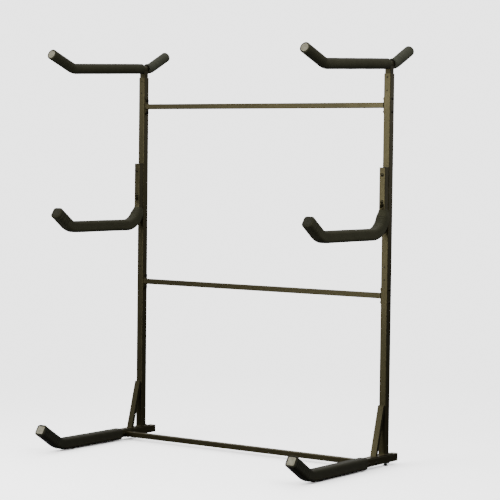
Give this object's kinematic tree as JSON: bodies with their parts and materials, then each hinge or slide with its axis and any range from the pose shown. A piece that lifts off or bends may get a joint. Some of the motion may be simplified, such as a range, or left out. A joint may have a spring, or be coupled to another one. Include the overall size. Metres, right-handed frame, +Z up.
{
  "type": "kayak rack",
  "caption": "Freestanding floor rack for kayaks or boards: padded end frames with a low base, bolted middle arms and raisable top cradles, joined by bolted crossbars.",
  "frame": {"origin": "on the floor, under the middle of the rack's outline, between the two end frames", "axes": "+X along the crossbars, from the left end frame to the right as seen from the front; -Y towards the front, where the arms reach out; +Z up"},
  "size_m": [1.5824, 1.0159, 2.0613],
  "materials": {
    "frame_paint": "satin powder coat, near black with an olive cast",
    "foam_dark": "matt closed-cell foam, dark grey",
    "foam_light": "matt closed-cell foam, grey-green",
    "cap_beige": "moulded, beige-white",
    "plug_black": "moulded, black",
    "zinc": "bright zinc plate",
    "black_steel": "black oxide",
    "foot_rubber": "matt, black"
  },
  "bodies": {
    "frame": {"left_base_tube": "frame_paint", "right_base_tube": "frame_paint", "left_base_foam": "foam_dark", "right_base_foam": "foam_dark", "left_base_front_cap": "cap_beige", "right_base_front_cap": "cap_beige", "left_base_rear_plug": "plug_black", "right_base_rear_plug": "plug_black", "left_foot_plate": "frame_paint", "right_foot_plate": "frame_paint", "left_brace": "frame_paint", "right_brace": "frame_paint", "left_lower_upright": "frame_paint", "right_lower_upright": "frame_paint", "left_coupler": "frame_paint", "right_coupler": "frame_paint", "left_upper_upright": "frame_paint", "right_upper_upright": "frame_paint", "left_arm_tube": "frame_paint", "right_arm_tube": "frame_paint", "left_arm_foam": "foam_dark", "right_arm_foam": "foam_dark", "left_arm_plug": "plug_black", "right_arm_plug": "plug_black", "top_crossbar": "frame_paint", "middle_crossbar": "frame_paint", "bottom_crossbar": "frame_paint", "crossbar_end_plates": "frame_paint", "crossbar_bolts": "black_steel", "crossbar_nuts": "black_steel", "arm_bolts": "black_steel", "arm_washers": "black_steel", "arm_nuts": "zinc", "foot_plate_bolts": "black_steel", "foot_plate_nuts": "zinc", "lock_screws": "black_steel", "foot_inserts": "zinc"},
    "left_cradle": {"left_cradle_tube": "frame_paint", "left_cradle_stub": "frame_paint", "left_cradle_front_foam": "foam_dark", "left_cradle_rear_foam": "foam_light", "left_cradle_cap": "cap_beige"},
    "right_cradle": {"right_cradle_tube": "frame_paint", "right_cradle_stub": "frame_paint", "right_cradle_front_foam": "foam_dark", "right_cradle_rear_foam": "foam_light", "right_cradle_cap": "cap_beige"},
    "left_front_foot": {"left_front_foot": "foot_rubber"},
    "left_rear_foot": {"left_rear_foot": "foot_rubber"},
    "right_front_foot": {"right_front_foot": "foot_rubber"},
    "right_rear_foot": {"right_rear_foot": "foot_rubber"}
  },
  "joints": [
    {"name": "left_cradle_height", "type": "slide", "parent": "frame", "child": "left_cradle", "axis": [0, 0, 1], "range_m": [0, 0.02]},
    {"name": "right_cradle_height", "type": "slide", "parent": "frame", "child": "right_cradle", "axis": [0, 0, 1], "range_m": [0, 0.02]},
    {"name": "left_front_foot_screw", "type": "slide", "parent": "frame", "child": "left_front_foot", "axis": [0, 0, -1], "range_m": [0, 0.012]},
    {"name": "left_rear_foot_screw", "type": "slide", "parent": "frame", "child": "left_rear_foot", "axis": [0, 0, -1], "range_m": [0, 0.012]},
    {"name": "right_front_foot_screw", "type": "slide", "parent": "frame", "child": "right_front_foot", "axis": [0, 0, -1], "range_m": [0, 0.012]},
    {"name": "right_rear_foot_screw", "type": "slide", "parent": "frame", "child": "right_rear_foot", "axis": [0, 0, -1], "range_m": [0, 0.012]}
  ]
}
